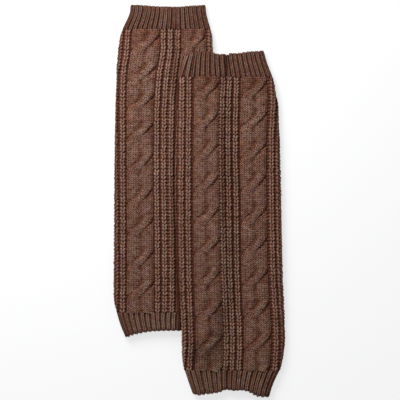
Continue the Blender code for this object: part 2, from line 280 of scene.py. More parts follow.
def under_height(turns, share, in_right_half):
    """Height of the strand beneath, at a share of its own width."""
    return (ROPE_SHARE - UNDER_SINK * crossing_at(turns)[0]) * arch(share, in_right_half)


def strand_at(turns, first, share):
    """Where a wale of one of a cable's two strands lies, 0 to 1 across the cable, and how high, 0 to 1.

    share is the wale's own place across the strand. A strand goes over to the right in one turn. In the
    next its wales slip back to the left, one after another, under the other strand.
    """
    shift = crossing_at(turns)[1]
    going_over = (np.floor(turns) % 2 == 0) == first
    slipped = ease((shift * (1 + SLIP) - share) / SLIP)
    across = np.where(going_over, 0.5 * (share + shift), 0.5 * (share + 1 - slipped))
    dip = DIP + LATE_DIP * ease((shift - LATE_DIP_START) / LATE_DIP_LENGTH)
    under = under_height(turns, share, 1 - slipped) - dip * slipped * (1 - slipped)
    return across, np.where(going_over, over_height(turns, share), under)


# Places and widths below are shares of the cable's width, and starts and lengths are shares of a crossing.
GROOVE_WIDTH_LEFT = 0.025
GROOVE_WIDTH_RIGHT = 0.085
GROOVE_NARROWING = 0.045   # of the right side's width, by the crossing's end
GROOVE_START = 0.28
GROOVE_RUN_IN = 0.2
GROOVE_RUN_OUT = 0.03
BESIDE_PLACE = 0.07        # the hollow behind the strand on top
BESIDE_WIDTH = 0.08
BESIDE_START = 0.4
BESIDE_RUN_IN = 0.3
BESIDE_RUN_OUT = 0.2       # of a turn
BELOW_PLACE = 0.44         # the hollow below a crossing, which strays a little to either side
BELOW_STRAY = 0.06
BELOW_WIDTH = 0.07
BELOW_PHASE = 0.26         # of a turn
BELOW_LENGTH = 0.1


def groove_at(across, turns):
    """How deep, 0 to 1, a point of a cable lies in the groove at the lower right of the strand on top."""
    shift = crossing_at(turns)[1]
    beyond = across - 0.5 * (1 + shift)
    width = np.where(beyond < 0, GROOVE_WIDTH_LEFT, GROOVE_WIDTH_RIGHT - GROOVE_NARROWING * shift)
    tightness = 0.85 + 0.15 * np.sin(9.1 * np.floor(turns))  # differs from crossing to crossing
    ends = ease((shift - GROOVE_START) / GROOVE_RUN_IN) * ease((1 - shift) / GROOVE_RUN_OUT)
    return tightness * bell(beyond, width) * ends


def hollow_at(across, turns):
    """How deep, 0 to 1, a point of a cable lies in the soft hollows between its strands."""
    phase = turns - np.floor(turns)
    shift = crossing_at(turns)[1]
    beside = bell(across - BESIDE_PLACE - 0.5 * shift, BESIDE_WIDTH)
    beside = beside * ease((shift - BESIDE_START) / BESIDE_RUN_IN) * ease((1.0 - phase) / BESIDE_RUN_OUT)
    uneven = np.sin(7.3 * np.floor(turns))  # differs from crossing to crossing
    below = bell(across - BELOW_PLACE - BELOW_STRAY * uneven, BELOW_WIDTH)
    below = below * bell(phase - BELOW_PHASE, BELOW_LENGTH)
    return np.maximum(beside, (0.55 + 0.35 * uneven) * below)


def cable_ground(across, turns):
    """Height, 0 to 1, of the cloth under a cable."""
    on_top = 2 * across - crossing_at(turns)[1]
    half = np.floor(2 * across)
    beneath = under_height(turns, 2 * across - half, half)
    return np.where((on_top > 0) & (on_top < 1), over_height(turns, on_top), beneath)


COLUMN_PITCH = 8.2         # from one large V column to the next beside the cables
COLUMN_RELIEF = 1.5        # the ground swells this much under a column
COLUMN_FULLNESS = 0.7
VALLEY_DROP = 1.3          # the ground lies this far down between two columns
GROOVE_DEPTH = 0.9
HOLLOW_DEPTH = 0.9
GROUND_DROP = 0.9          # the stitches stand this far off the ground of the cloth


def tube_ground(leg, u, y):
    """Height of the ground of a tube's cloth, from its columns and cables."""
    start_1, end_1, start_2, end_2 = (read(leg.bands, name, y) for name in Band._fields[1:])
    turns = turns_at(leg, y)
    height = np.full_like(u, -GROUND_DROP)
    for start, end in ((start_1, end_1), (start_2, end_2)):
        across = (u - start) / (end - start)
        inside = (across > 0) & (across < 1)
        relief = CABLE_HEIGHT * cable_ground(across, turns) - GROOVE_DEPTH * groove_at(across, turns)
        relief = relief - HOLLOW_DEPTH * hollow_at(across, turns)
        height = np.where(inside, relief - GROUND_DROP, height)
    valleys = [valley.share for valley in leg.valleys]
    centre = np.interp((u - end_1) / (start_2 - end_1), valleys, range(len(valleys)))
    sides = np.maximum(0.0, np.where(u < start_1, start_1 - u, u - end_2) - leg.side_gap) / COLUMN_PITCH
    in_centre = (u >= end_1) & (u <= start_2)
    column = np.where(in_centre, centre, sides)
    ridge = COLUMN_RELIEF * np.abs(np.sin(math.pi * column)) ** COLUMN_FULLNESS - VALLEY_DROP
    return np.where(in_centre | (u < start_1) | (u > end_2), ridge, height)


def new_object(name, data):
    """A new object in the scene."""
    thing = bpy.data.objects.new(name, data)
    bpy.context.scene.collection.objects.link(thing)
    return thing


def closed_cloth(name, outer, inner, front, materials):
    """A tube's wall as one closed mesh, from its outside and inside as rows of equal rings.

    The first points of a ring, as many as front says, lie under stitches and take the first material.
    """
    rows, count = outer.shape[:2]
    all_rows = rows + inner.shape[0]
    points = np.concatenate([outer.reshape(-1, 3), inner.reshape(-1, 3)]) * MM
    ring = np.arange(count)
    after = (ring + 1) % count

    def strip(row, other, outside):
        """Faces between two rings, which point the right way for the outside or for the inside."""
        a, b = row * count, other * count
        if outside:
            return np.stack([a + ring, b + ring, b + after, a + after], axis=1)
        return np.stack([a + ring, a + after, b + after, b + ring], axis=1)

    faces = [strip(row, row + 1, True) for row in range(rows - 1)]
    faces += [strip(row, row + 1, False) for row in range(rows, all_rows - 1)]
    faces += [strip(0, rows, False), strip(rows - 1, all_rows - 1, True)]  # the two open ends
    mesh = bpy.data.meshes.new(name)
    mesh.from_pydata(points.tolist(), [], np.concatenate(faces).tolist())
    mesh.update()
    mesh.shade_smooth()
    for material in materials:
        mesh.materials.append(material)
    for face in mesh.polygons:
        under_stitches = all(v < rows * count and v % count < front for v in face.vertices)
        face.material_index = 0 if under_stitches else 1
    return new_object(name, mesh)


FOLD_REACH = FOLD_LENGTH * FOLD_LAST_TURN - FOLD       # a fold ends this far past the edge, laid flat
UNDER_COLUMNS = 14         # points across the flat underside
SLOT_OPENING = 8.0         # how quickly the slot opens from a side fold


def knitted_tube(name, leg, ground, ends, rows, lining_rows, columns, materials):
    """The cloth of a tube or cuff. ends gives y at the piece's top and bottom for places across it."""
    top, bottom = (float(v) for v in ends(np.array(0.5)))

    def rings(count):
        """The cloth's left and right edge at each ring, and a function for y of the rings' points."""
        share = np.linspace(0.0, 1.0, count)[:, None]
        left, right = edges(leg, top + (bottom - top) * share)

        def along(x):
            high, low = ends(np.clip((x - left) / (right - left), 0.0, 1.0))
            return high + (low - high) * share

        return left, right, along

    evenly = np.linspace(0.0, 1.0, columns)[None, :]
    left, right, along = rings(rows)
    u = left - FOLD_REACH + (right - left + 2 * FOLD_REACH) * evenly
    y = along(u)
    front = on_cloth(leg, u, y, ground(leg, u, y))
    x = right - FOLD + (left - right + 2 * FOLD) * np.linspace(0.0, 1.0, UNDER_COLUMNS)[None, :]
    y = along(x)
    back = np.stack([x, y, rest_height(leg, x, y)], axis=-1)

    left, right, along = rings(lining_rows)

    def lining(across, lift):
        """Points of the inside, from their shares of its width and their height off the wall's middle."""
        x = left + FOLD_WALL + (right - left - 2 * FOLD_WALL) * across
        y = along(x)
        opening = np.minimum(1.0, SLOT_OPENING * np.sin(math.pi * across))
        return np.stack([x, y, THICK / 2 + lift * opening + rest_height(leg, x, y)], axis=-1)

    over = lining(evenly, SLOT / 2 + CROWN * np.sin(math.pi * evenly))
    beneath = lining(1 - (np.arange(UNDER_COLUMNS) + 1.0)[None, :] / (UNDER_COLUMNS + 1), -SLOT / 2)
    return closed_cloth(name, np.concatenate([front, back], axis=1), np.concatenate([over, beneath], axis=1),
                        columns, materials)


class Wire:
    """An output of a node, which takes part in arithmetic."""

    def __init__(self, tree, socket):
        self.tree, self.socket = tree, socket

    def __add__(self, other):
        return self.tree.maths("ADD", self, other)

    def __sub__(self, other):
        return self.tree.maths("SUBTRACT", self, other)

    def __rsub__(self, other):
        return self.tree.maths("SUBTRACT", other, self)

    def __mul__(self, other):
        return self.tree.maths("MULTIPLY", self, other)

    def __pow__(self, other):
        return self.tree.maths("POWER", self, other)

    def __rpow__(self, other):
        return self.tree.maths("POWER", other, self)

    __radd__, __rmul__ = __add__, __mul__


class Tree:
    """A node tree under construction."""

    def __init__(self, tree):
        self.tree = tree

    def maths(self, operation, *values):
        return self.add("ShaderNodeMath", {"operation": operation}, dict(enumerate(values)))

    def feed(self, node, inputs):
        """Set a node's inputs to values or link them to wires. A list goes into one input."""
        for name, value in inputs.items():
            for part in value if isinstance(value, list) else [value]:
                if isinstance(part, Wire):
                    self.tree.links.new(part.socket, node.inputs[name])
                else:
                    node.inputs[name].default_value = part

    def add(self, kind, settings=None, inputs=None, output=0):
        """A new node. Gives its output as a wire, or several outputs where a tuple names them."""
        node = self.tree.nodes.new(kind)
        for name, value in (settings or {}).items():
            if name == "stops":
                for n, (place, colour) in enumerate(value):
                    stop = node.color_ramp.elements[n] if n < 2 else node.color_ramp.elements.new(place)
                    stop.position, stop.color = place, (*colour, 1.0)
            else:
                setattr(node, name, value)
        self.feed(node, inputs or {})
        if isinstance(output, tuple):
            return [Wire(self, node.outputs[name]) for name in output]
        return Wire(self, node.outputs[output]) if node.outputs else node


WOOL_PATCHES = [           # the browns of the blend, and where each shows in the clouds
    (0.30, (0.110, 0.054, 0.043)), (0.42, (0.133, 0.069, 0.055)), (0.51, (0.112, 0.065, 0.041)),
    (0.60, (0.136, 0.071, 0.052)), (0.70, (0.148, 0.074, 0.046))]
PATCH_SIZE = (16.0, 9.0)   # across and along
STREAK_SIZE = (7.0, 1.9)
FIBRE_SIZE = (1.3, 1.0)
BUMP_HEIGHT = 0.3 * MM
PLAIN_WALE = 4.2 * MM      # plain knitting, which shows as low relief on the sides without stitches
PLAIN_ROW = 3.4 * MM
PLAIN_LEAN = 1.2           # how far its stitches point downwards, in rows
GREEN_FALL = 1.75          # light fibres are also paler: green and blue rise faster than red
BLUE_FALL = 2.2


def wool(name, brightness, stitched, redness=1.0, variety=0.2):
    """Heathered brown wool. A low brightness darkens it, and redness says how much redder it gets for that.

    Stitches differ in tone by variety. Their openness and shade, painted light and shade, make them darker
    low in the gaps and in shaded places, lighter on top. Other cloth shows plain knitting.
    """
    material = bpy.data.materials.new(name)
    material.use_nodes = True
    tree = Tree(material.node_tree)
    place = tree.add("ShaderNodeTexCoord", output="Object")

    def cloud(size, detail, shift):
        """Noise of a size in millimetres across and along."""
        stretched = tree.add("ShaderNodeMapping", None, {
            "Vector": place, "Location": (shift, 2 * shift, 0.0),
            "Scale": (1000 / size[0], 1000 / size[1], 1000 / size[0])})
        return tree.add("ShaderNodeTexNoise", None, {
            "Vector": stretched, "Scale": 1.0, "Detail": detail, "Roughness": 0.6})

    def noted(attribute):
        """A value that the mesh holds at each point."""
        return tree.add("ShaderNodeAttribute", {"attribute_name": attribute}, output="Fac")

    patches = tree.add("ShaderNodeValToRGB", {"stops": WOOL_PATCHES}, {"Fac": cloud(PATCH_SIZE, 2.0, 3.0)})
    fibres = cloud(FIBRE_SIZE, 3.0, 5.0)
    tone = 0.2 + cloud(STREAK_SIZE, 2.0, 11.0) * 0.6 + fibres * 1.2
    if stitched:
        tone = (tone + noted("stitch_tone") * variety - variety / 2) * noted("openness") * brightness
        shade = noted("shade")
        relief = fibres
    else:
        across, along = tree.add("ShaderNodeSeparateXYZ", None, {"Vector": place}, output=("X", "Y"))
        zigzag = tree.maths("PINGPONG", across, PLAIN_WALE / 2) * (PLAIN_LEAN / PLAIN_WALE)
        rows = tree.maths("SINE", (along * (1 / PLAIN_ROW) + zigzag) * (2 * math.pi))
        wales = tree.maths("SINE", across * (2 * math.pi / PLAIN_WALE))
        knit = rows * 0.25 + wales * wales * -0.2 + 0.75
        tone = tone * brightness * knit
        shade = 1.0
        relief = fibres + knit * 2.0
    usual = 1.1 * brightness  # the tone of most of the yarn
    shades = tree.add("ShaderNodeCombineColor", None, {
        "Red": tone * shade,
        "Green": tone ** GREEN_FALL * usual ** (0.35 * redness - (GREEN_FALL - 1)) * shade,
        "Blue": tone ** BLUE_FALL * usual ** (0.5 * redness - (BLUE_FALL - 1)) * shade})
    colour = tree.add("ShaderNodeMix", {"data_type": "RGBA", "blend_type": "MULTIPLY"},
                      {0: 1.0, 6: patches, 7: shades}, output=2)
    bump = tree.add("ShaderNodeBump", None, {"Strength": 0.5, "Distance": BUMP_HEIGHT, "Height": relief})
    tree.feed(material.node_tree.nodes["Principled BSDF"], {
        "Base Color": colour, "Normal": bump, "Roughness": 0.95, "Specular IOR Level": 0.08,
        "Sheen Weight": 0.04, "Sheen Roughness": 0.5, "Sheen Tint": (0.9, 0.75, 0.68, 1.0)})
    return material


# the ground under the stitches takes a darkened wool: painted shade that shows between the stitches
ground_wool = wool("wool ground", 0.38, False)
plain_wool = wool("wool plain side", 0.95, False)

for leg in (LEFT, RIGHT):
    top, bottom = leg.top_seam - SEAM_GAP / 2, leg.bottom_seam + SEAM_GAP / 2
    tube = knitted_tube(leg.name + "_leg_tube_cloth", leg, tube_ground,
                        lambda across: (top + 0 * across, bottom + 0 * across),
                        rows=170, lining_rows=24, columns=110, materials=(ground_wool, plain_wool))
    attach(tube, "root")
    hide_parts(leg.name + "_leg_tube")


# ---- The stitches of the rope cables -------------------------------------------------------------
# Each cable is two ropes of five wales of plain knitting that change places every 37 or 38 mm, the one
# on the left always crossing over. Every stitch is a pair of leaning lobes of yarn, laid on the rope.

STITCH_LEAN = (0.05, 0.05, 0.2)        # how far a stitch may lean, in radians


def stitch_tree(name):
    """Knitting laid out flat: a grid of stitches, each two lobes of yarn that lean apart upwards.

    Foot and Head are how far a lobe's lower and upper end lie from the stitch's middle.
    """
    group = bpy.data.node_groups.new(name, "GeometryNodeTree")
    inputs = {"Wales": "Int", "Rows": "Int", "Sides": "Int", "Steps": "Int", "Seed": "Int",
              "Wale Width": "Float", "Row Height": "Float", "Yarn Radius": "Float", "Lobe Length": "Float",
              "Foot": "Float", "Head": "Float", "Bulge": "Float", "Taper": "Float", "Unevenness": "Float",
              "Wool": "Material"}
    for label, kind in inputs.items():
        group.interface.new_socket(label, in_out="INPUT", socket_type="NodeSocket" + kind)
    group.interface.new_socket("Geometry", in_out="OUTPUT", socket_type="NodeSocketGeometry")
    tree = Tree(group)
    size = dict(zip(inputs, tree.add("NodeGroupInput", output=tuple(inputs))))

    grid = tree.add("GeometryNodeMeshGrid", None, {
        "Vertices X": size["Wales"], "Size X": (size["Wales"] - 1) * size["Wale Width"],
        "Vertices Y": size["Rows"], "Size Y": (size["Rows"] - 1) * size["Row Height"]})

    def vector(x, y, z):
        return tree.add("ShaderNodeCombineXYZ", None, {0: x, 1: y, 2: z})

    most = size["Unevenness"]
    least = most * -1
    shake = tree.add("FunctionNodeRandomValue", {"data_type": "FLOAT_VECTOR"}, {
        0: vector(least, least, least), 1: vector(most, most, most), 8: size["Seed"]})
    spread = tree.add("GeometryNodeSetPosition", None, {"Geometry": grid, "Offset": shake})
    lean = tree.add("FunctionNodeRandomValue", {"data_type": "FLOAT_VECTOR"}, {
        0: tuple(-angle for angle in STITCH_LEAN), 1: STITCH_LEAN, 8: size["Seed"] + 1})
    lobes = []
    for side in (-1, 1):
        foot, head = size["Foot"] * side, size["Head"] * side
        half = size["Lobe Length"] * 0.5
        bow = tree.add("GeometryNodeCurveQuadraticBezier", None, {
            "Resolution": size["Steps"], "Start": vector(foot, half * -1, 0.0),
            "Middle": vector(foot * 0.5 + head * 0.7, 0.0, size["Bulge"]), "End": vector(head, half, 0.0)})
        along = tree.add("GeometryNodeSplineParameter")
        swell = size["Taper"] + tree.maths("SINE", along * math.pi) * (1 - size["Taper"])
        bow = tree.add("GeometryNodeSetCurveRadius", None, {"Curve": bow, "Radius": swell})
        ring = tree.add("GeometryNodeCurvePrimitiveCircle", None, {
            "Resolution": size["Sides"], "Radius": size["Yarn Radius"]})
        lobes.append(tree.add("GeometryNodeCurveToMesh", None, {
            "Curve": bow, "Profile Curve": ring, "Fill Caps": True}))
    pair = tree.add("GeometryNodeJoinGeometry", None, {0: lobes})
    stitches = tree.add("GeometryNodeInstanceOnPoints", None, {
        "Points": spread, "Instance": pair, "Rotation": lean})
    tone = tree.add("FunctionNodeRandomValue", {"data_type": "FLOAT"}, {8: size["Seed"] + 2}, output=1)
    toned = tree.add("GeometryNodeStoreNamedAttribute", {"data_type": "FLOAT", "domain": "INSTANCE"}, {
        "Geometry": stitches, "Name": "stitch_tone", "Value": tone})
    real = tree.add("GeometryNodeRealizeInstances", None, {"Geometry": toned})
    round_off = tree.add("GeometryNodeSetShadeSmooth", None, {"Geometry": real})
    dressed = tree.add("GeometryNodeSetMaterial", None, {"Geometry": round_off, "Material": size["Wool"]})
    tree.add("NodeGroupOutput", None, {0: dressed})
    return group


knitting = stitch_tree("knitting laid flat")


def knit_panel(sizes, material):
    """A flat panel of stitches as a plain mesh, in millimetres."""
    sizes = {**sizes, "Wool": material}
    carrier = new_object("panel", bpy.data.meshes.new("panel"))
    modifier = carrier.modifiers.new("knitting", "NODES")
    modifier.node_group = knitting
    for item in knitting.interface.items_tree:
        if item.name in sizes:
            modifier[item.identifier] = sizes[item.name]
    evaluated = carrier.evaluated_get(bpy.context.evaluated_depsgraph_get())
    mesh = bpy.data.meshes.new_from_object(evaluated)
    carrier.modifiers.remove(modifier)
    bpy.data.objects.remove(carrier)
    mesh["stitches"] = sizes["Wales"] * sizes["Rows"]
    return mesh


FOLD_SHADE = 0.44          # the outer side folds get this much less light
FOLD_SHADE_START = -0.5    # from just outside the edge
FOLD_SHADE_WIDTH = 7.0
INNER_FOLD_SHADE = 0.65    # and the upper leg's left fold, low down where it stands off the lower leg
INNER_FOLD_WIDTH = 4.0
INNER_FOLD_RUN_OUT = 20.0  # which ends at the lower leg's hem
CREVICE_WIDTH_TOP = 2.6    # the cloth is in shade this near the leg on top, which gapes more lower down
CREVICE_WIDTH_BOTTOM = 4.2
CREVICE_SHADE = 0.75
CREVICE_START = 6.0        # above the upper leg's top seam
CREVICE_RUN_IN = 14.0
HEM_SLOPE_LIGHT = 0.5      # light off the pale surface on the slope past the lower leg's hem
HEM_SLOPE_WIDTH = 22.0     # reaches this far in from the fold
TOP_CUFF_SHADE = 0.88      # the left leg's top cuff lies lower than its tube


def uncrowded(leg, points):
    """How open the cloth is to the light: 1 on the front, less round a fold and beside the leg on top."""
    x, y = points[..., 0], points[..., 1]
    left, right = edges(leg, y)
    inwards = x - left if leg is LEFT else right - x
    light = 1 - FOLD_SHADE * (1 - ease((inwards - FOLD_SHADE_START) / FOLD_SHADE_WIDTH))
    lower = ease((RIGHT.top_seam - y) / (RIGHT.top_seam - LEFT.bottom_seam))
    if leg is LEFT:
        top_edge = read(RIGHT.sections, "left", y)
        width = CREVICE_WIDTH_TOP + (CREVICE_WIDTH_BOTTOM - CREVICE_WIDTH_TOP) * lower
        near = bell(x - top_edge, width) * ease((RIGHT.top_seam + CREVICE_START - y) / CREVICE_RUN_IN)
        light = light * (1 - CREVICE_SHADE * near) * np.where(y > leg.top_seam, TOP_CUFF_SHADE, 1.0)
    else:
        slope = np.clip((STEP_TAIL_TOP - y) / STEP_TAIL_LENGTH, 0.0, 1.0)
        near_fold = 1 - ease((x - left) / HEM_SLOPE_WIDTH)
        light = light * (1 + HEM_SLOPE_LIGHT * np.sin(math.pi * slope) * near_fold)
        standing_off = lower * ease((y - LEFT.bottom_seam) / INNER_FOLD_RUN_OUT)
        light = light * (1 - INNER_FOLD_SHADE * standing_off * (1 - ease((x - left) / INNER_FOLD_WIDTH)))
    return light * (1 - creased(leg, x, y, "shade"))


def lay(mesh, place, leg):
    """Move a flat panel's points to where place says, in mm, and note how open to the light each one lies.

    place gives each point's spot across and along the cloth, its height and how open it is. A stitch that
    would lie past the end of a side fold is left out.
    """
    points = np.empty(len(mesh.vertices) * 3)
    mesh.vertices.foreach_get("co", points)
    u, y, height, openness = place(*points.reshape(-1, 3).T)
    left, right = edges(leg, y)
    past = np.maximum(left - u, u - right) > FOLD_REACH
    points = on_cloth(leg, u, y, height)
    mesh.vertices.foreach_set("co", (points * MM).ravel())
    shade = np.sqrt(uncrowded(leg, points))
    mesh.attributes.new("openness", "FLOAT", "POINT").data.foreach_set("value", openness * shade)
    mesh.attributes.new("shade", "FLOAT", "POINT").data.foreach_set("value", shade)
    lost = past.reshape(mesh["stitches"], -1).any(axis=1).repeat(len(past) // mesh["stitches"])
    if lost.any():
        form = bmesh.new()
        form.from_mesh(mesh)
        bmesh.ops.delete(form, geom=[v for v, gone in zip(form.verts, lost) if gone], context="VERTS")
        form.to_mesh(mesh)
        form.free()
    mesh.update()


def openness_at(height, darkest, lightest=1.1):
    """How open yarn is to the light, from the gaps, height 0, up to its own full height, 1."""
    return darkest + (lightest - darkest) * ease(height)


def join_pieces(name, meshes):
    """One piece from several laid panels, riding with the pair."""
    parts = [new_object(f"{name}_{n}", mesh) for n, mesh in enumerate(meshes)]
    with bpy.context.temp_override(active_object=parts[0], selected_editable_objects=parts):
        bpy.ops.object.join()
    piece = parts[0]
    piece.name = name
    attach(piece, "root")
    return piece


rope_wool = wool("rope yarn", 0.85, True, variety=0.45)
ROPE_STITCH = {"Yarn Radius": 0.82, "Lobe Length": 1.75, "Foot": 0.3, "Head": 1.5, "Bulge": 1.0,
               "Taper": 0.8, "Unevenness": 0.2, "Sides": 5, "Steps": 3}
ROPE_STITCH_HEIGHT = 0.9   # where its yarn is fully in the light
ROPE_WALES = 5
ROPE_WALE_WIDTH = 3.4
ROPE_ROW_HEIGHT = 2.35
ROW_TILT = 0.35            # how far the rows turn with the rope
STEEPEST_TURNS = (-0.2, 2.0)  # of a rope, to the left and to the right
ROPE_HEIGHT = 3.2
ROPE_SEAT = 0.75           # the ropes lie this far down in the cloth
ROPE_GAP_LIGHT = 0.70      # between the stitches
LOW_ROPE_LIGHT = 0.62      # a rope's light at no height, and what it gains up to its full height
HIGH_ROPE_GAIN = 0.43
LOWEST_LIT = 0.3
GROOVE_SHADE = 0.66
HOLLOW_SHADE = 0.4
CABLE_INSET = 0.6          # the ropes leave a narrow valley at each side of a cable
DRAWN_IN_LENGTH = 20.0     # the top cuff draws the cables down and into shade this far from it
DRAWN_IN_SHADE = 0.16


def rope_panel(leg, start_name, end_name, first, seed):
    """One of a cable's two ropes, between the columns of the table of bands that bound the cable."""
    length = leg.top_seam - leg.bottom_seam
    rows = round(length / ROPE_ROW_HEIGHT)
    mesh = knit_panel({"Wales": ROPE_WALES, "Rows": rows, "Wale Width": ROPE_WALE_WIDTH,
                       "Row Height": length / rows, "Seed": seed, **ROPE_STITCH}, rope_wool)

    def place(px, py, pz):
        share = 0.5 + px / (ROPE_WALES * ROPE_WALE_WIDTH)
        y = (leg.bottom_seam + leg.top_seam) / 2 + py
        start = read(leg.bands, start_name, y) + CABLE_INSET
        end = read(leg.bands, end_name, y) - CABLE_INSET
        slope = (strand_at(turns_at(leg, y + 0.5), first, 0.5)[0]
                 - strand_at(turns_at(leg, y - 0.5), first, 0.5)[0]) * (end - start)
        y = y - ROW_TILT * np.clip(slope, *STEEPEST_TURNS) * px
        turns = turns_at(leg, y)
        across, high = strand_at(turns, first, share)
        groove, hollow = groove_at(across, turns), hollow_at(across, turns)
        height = ROPE_HEIGHT * high - GROOVE_DEPTH * groove - HOLLOW_DEPTH * hollow - ROPE_SEAT
        light = LOW_ROPE_LIGHT + HIGH_ROPE_GAIN * np.maximum(high, LOWEST_LIT)
        light = light * (1 - GROOVE_SHADE * groove) * (1 - HOLLOW_SHADE * hollow)
        light = light * (1 - DRAWN_IN_SHADE * bell(leg.top_seam - y, DRAWN_IN_LENGTH))
        openness = openness_at(pz / ROPE_STITCH_HEIGHT, ROPE_GAP_LIGHT) * light
        return start + (end - start) * across, y, height + pz, openness

    lay(mesh, place, leg)
    return mesh


stitches = {"left": [], "right": []}
for leg in (LEFT, RIGHT):
    for number in (1, 2):
        ropes = [rope_panel(leg, f"cable_{number}_left", f"cable_{number}_right", first, 10 * number + first)
                 for first in (True, False)]
        piece = join_pieces(f"{leg.name}_cable_{number}_stitches", ropes)
        stitches[leg.name].append(piece)


# ---- The large V columns -----------------------------------------------------------------------
# Between and beside the cables run columns of half-cardigan rib, in which tucked yarn makes each stitch
# twice as tall. They stand up as rows of round beads in pairs, with smaller stitches sunk between them.

column_wool = wool("column yarn", 0.85, True)
COLUMN_ROW_HEIGHT = 4.1
COLUMN_END_GAP = 0.4       # between a column's end and the seam

BEADS = {"Yarn Radius": 1.2, "Lobe Length": 3.0, "Foot": 0.75, "Head": 1.95, "Bulge": 1.9, "Taper": 0.5,
         "Unevenness": 0.4, "Sides": 6, "Steps": 4}
SUNK_STITCHES = {"Yarn Radius": 0.8, "Lobe Length": 1.5, "Foot": 1.3, "Head": 0.3, "Bulge": 0.5,
                 "Taper": 0.6, "Unevenness": 0.35, "Sides": 5, "Steps": 3}

Seat = namedtuple("Seat", "depth darkest lightest")  # how deep a column lies, and in how much light
MIDDLE_BEADS = Seat(0.0, 0.79, 1.07)
SIDE_BEADS = Seat(0.0, 0.74, 1.01)
DEEP_VALLEY = Seat(1.5, 0.26, 0.56)
SOFT_VALLEY = Seat(0.7, 0.56, 0.91)


def valley_seat(softness):
    """The seat of a valley's column, from a deep valley, 0, to a soft one, 1."""
    return Seat(*(deep + (soft - deep) * softness for deep, soft in zip(DEEP_VALLEY, SOFT_VALLEY)))


def column_panel(leg, centre, seat, stitch, seed):
    """One column of stitches, whose middle line centre gives."""
    low, high = leg.bottom_seam + COLUMN_END_GAP, leg.top_seam - COLUMN_END_GAP
    rows = round((high - low) / COLUMN_ROW_HEIGHT)
    mesh = knit_panel({"Wales": 1, "Rows": rows, "Wale Width": 1.0, "Row Height": (high - low) / rows,
                       "Seed": seed, **stitch}, column_wool)
    full = stitch["Bulge"] / 2 + stitch["Yarn Radius"]

    def place(px, py, pz):
        y = (low + high) / 2 + py
        return centre(y) + px, y, pz - seat.depth, openness_at(pz / full, seat.darkest, seat.lightest)

    lay(mesh, place, leg)
    return mesh


def middle_line(leg, share):
    """The line at a share of the way from the first cable to the second."""
    return lambda y: (read(leg.bands, "cable_1_right", y) * (1 - share)
                      + read(leg.bands, "cable_2_left", y) * share)


def side_line(leg, side, columns):
    """The line that lies this many columns out from the cable beside it."""
    offset = side.way * (leg.side_gap + COLUMN_PITCH * columns)
    return lambda y: read(leg.bands, side.cable_edge, y) + offset


Side = namedtuple("Side", "cable_edge way softness")  # beside the cables, and how soft the valleys are
SIDES = (Side("cable_1_left", -1, 0.2), Side("cable_2_right", 1, 0.5))
SIDE_COLUMNS = 3
BEAD_SEED = 40
SUNK_SEED = 60
for leg in (LEFT, RIGHT):
    valleys = leg.valleys
    beads = [(middle_line(leg, (a.share + b.share) / 2), MIDDLE_BEADS) for a, b in zip(valleys, valleys[1:])]
    sunk = [(middle_line(leg, valley.share), valley_seat(valley.softness)) for valley in valleys]
    for side in SIDES:
        beads += [(side_line(leg, side, n + 0.5), SIDE_BEADS) for n in range(SIDE_COLUMNS)]
        sunk += [(side_line(leg, side, n), valley_seat(side.softness)) for n in range(SIDE_COLUMNS)]
    for kind, columns, stitch, seed in (("column", beads, BEADS, BEAD_SEED),
                                        ("sunk", sunk, SUNK_STITCHES, SUNK_SEED)):
        panels = [column_panel(leg, *column, stitch, seed + n) for n, column in enumerate(columns)]
        stitches[leg.name].append(join_pieces(f"{leg.name}_{kind}_stitches", panels))

for leg in (LEFT, RIGHT):
    (leg.top_seam - leg.bottom_seam) * MM


# ---- The cuffs ---------------------------------------------------------------------------------
# A cuff of narrow one-and-one rib is knitted on to each end of a tube, 36 ribs round, 18 of them in
# front. It draws the tube in, and its open edge waves with the ribs.

# the cuffs' ground wool is darkened too: painted shade that shows between the ribs
cuff_ground_wool = wool("cuff wool ground", 0.56, False)
# the top and bottom cuffs take copies of one yarn that differ only in brightness: the bottom cuffs' copy is
# painted lighter, painted light
cuff_wool = {"top": wool("top cuff wool yarn", 0.60, True, redness=-0.1),
             "bottom": wool("bottom cuff wool yarn", 0.68, True, redness=-0.1)}
CUFF_RIBS = 18
CUFF_RELIEF = 1.3          # the ground swells this much under a rib
CUFF_VALLEY_DROP = 1.1
CUFF_ROW_HEIGHT = 2.4
RIB_STITCH = {"Yarn Radius": 0.92, "Lobe Length": 0.8, "Foot": 0.85, "Head": 1.3, "Bulge": 1.2, "Taper": 0.6,
              "Unevenness": 0.1, "Sides": 6, "Steps": 3}
RIB_STITCH_HEIGHT = 1.4    # where its yarn is fully in the light
RIB_LIFT = 0.25
RIB_SEED = 70
RIB_HALF_WIDTH = 2.4
RIB_SHIFT = 0.5            # the ribs stray this far from even places
RIB_TONE = 0.13            # and differ this much in how much light they catch
RIB_GAP_LIGHT = 0.45       # between the stitches
GAP_SHADE = {"top": 0.45, "bottom": 0.25}  # between the ribs, which lie closer in the top cuffs
GAP_START = 0.6            # from a rib's middle
GAP_WIDTH = 1.8
CUFF_RIM = 2.0             # the open edge turns down over this length
RIM_SHADE = 0.4
CUFF_OVERHANG = 0.9        # each rib's end stands out this far past the cloth's edge
ROLL_SHIFT = 4.0           # the right top cuff's ribs slant by this much at its left fold, which has rolled
ROLL_SHARE = 0.13          # over this share of its width
ROLL_WIDTH = 8.0           # the roll catches more light this far in, and less at the fold itself
ROLL_LIGHT = 0.3


def cuff_ground(leg, u, y):
    """Height of the ground of a cuff's cloth, from its ribs."""
    left, right = edges(leg, y)
    ribs = np.abs(np.sin(math.pi * CUFF_RIBS * (u - left) / (right - left)))
    return CUFF_RELIEF * ribs - CUFF_VALLEY_DROP


